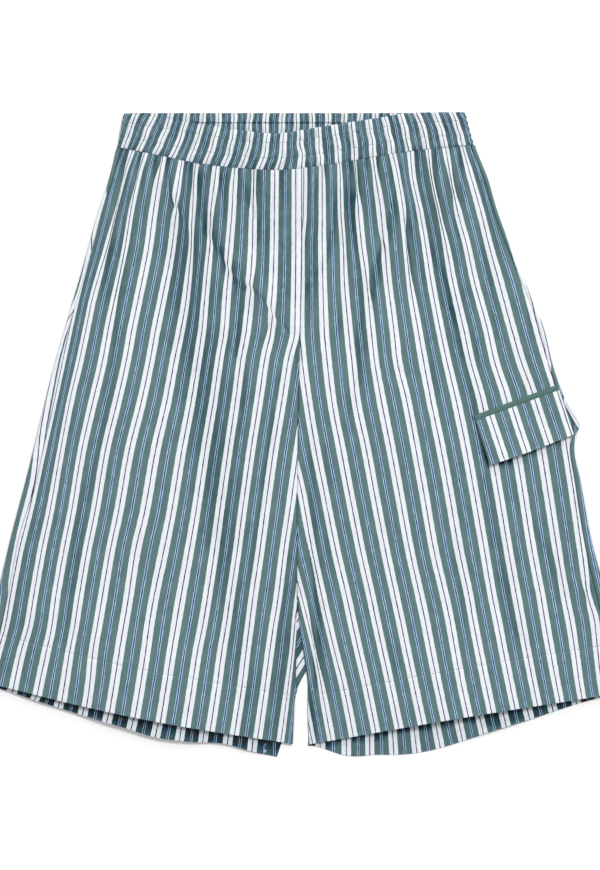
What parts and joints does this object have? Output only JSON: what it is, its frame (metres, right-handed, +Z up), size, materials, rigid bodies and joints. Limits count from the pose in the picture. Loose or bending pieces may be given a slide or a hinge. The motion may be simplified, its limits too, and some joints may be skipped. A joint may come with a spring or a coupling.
{
  "type": "wide-leg striped cotton shorts with a gathered elastic waist, laid flat",
  "caption": "Wide-leg pull-on shorts of striped cotton, with a gathered elastic waistband and a flap pocket on one side, laid flat with the front up.",
  "frame": {"origin": "On the surface the shorts lie on, under the middle of the garment's bounding box.", "axes": "+X is the wearer's left, the side with the pocket, +Y points from the hems to the waist, and +Z is up from the surface, out of the front."},
  "size_m": [0.6172, 0.6122, 0.0105],
  "materials": {
    "striped_cotton": "matt woven cotton with lengthwise green, white and blue stripes",
    "plain_trim": "matt plain green cotton"
  },
  "bodies": {
    "root": {"back_right": "striped_cotton", "back_left": "striped_cotton", "front_right": "striped_cotton", "front_left": "striped_cotton", "waistband_back": "striped_cotton", "waistband_front": "striped_cotton", "pocket_flap": "striped_cotton", "pocket_welt": "plain_trim"}
  },
  "joints": []
}
